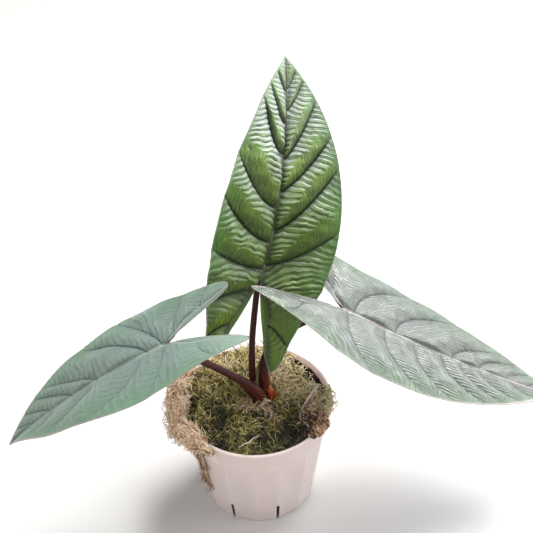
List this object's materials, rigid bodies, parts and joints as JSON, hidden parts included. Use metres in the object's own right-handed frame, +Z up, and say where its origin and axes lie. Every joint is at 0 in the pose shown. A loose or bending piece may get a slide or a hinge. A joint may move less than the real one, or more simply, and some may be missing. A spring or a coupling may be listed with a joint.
{
  "type": "potted alocasia scalprum",
  "caption": "Small potted aroid with arrow-shaped, deeply quilted leaves on dark stems, in a slotted white nursery pot dressed with moss.",
  "frame": {"origin": "centre of the pot's underside, on its axis", "axes": "+Z up along the pot's axis, -Y toward the viewer in front, +X to that viewer's right, along the longest extent from leaf tip to leaf tip"},
  "size_m": [0.3075, 0.1625, 0.2407],
  "materials": {
    "pot_plastic": "satin white plastic",
    "substrate": "dark loose potting bark",
    "moss_green": "damp fibrous moss",
    "moss_tan": "dry fibrous moss",
    "moss_brown": "dark fibrous moss",
    "dry_root": "bare dry root",
    "rhizome": "rough brown rhizome",
    "bud_orange": "waxy orange-red sheath",
    "stem_dark": "smooth dark maroon skin",
    "leaf_green": "glossy quilted green blade",
    "leaf_sage": "satin sage blade",
    "leaf_silver": "metallic silver-grey blade"
  },
  "bodies": {
    "root": {"pot": "pot_plastic", "substrate": "substrate", "moss_mat": "moss_green", "moss_clump_left": "moss_tan", "moss_clump_right": "moss_brown", "twig": "dry_root", "rhizome": "rhizome", "bud": "bud_orange", "stem_left": "stem_dark", "stem_right": "stem_dark", "stem_centre": "stem_dark", "leaf_centre": "leaf_green", "leaf_left": "leaf_sage", "leaf_right": "leaf_silver"}
  },
  "joints": []
}
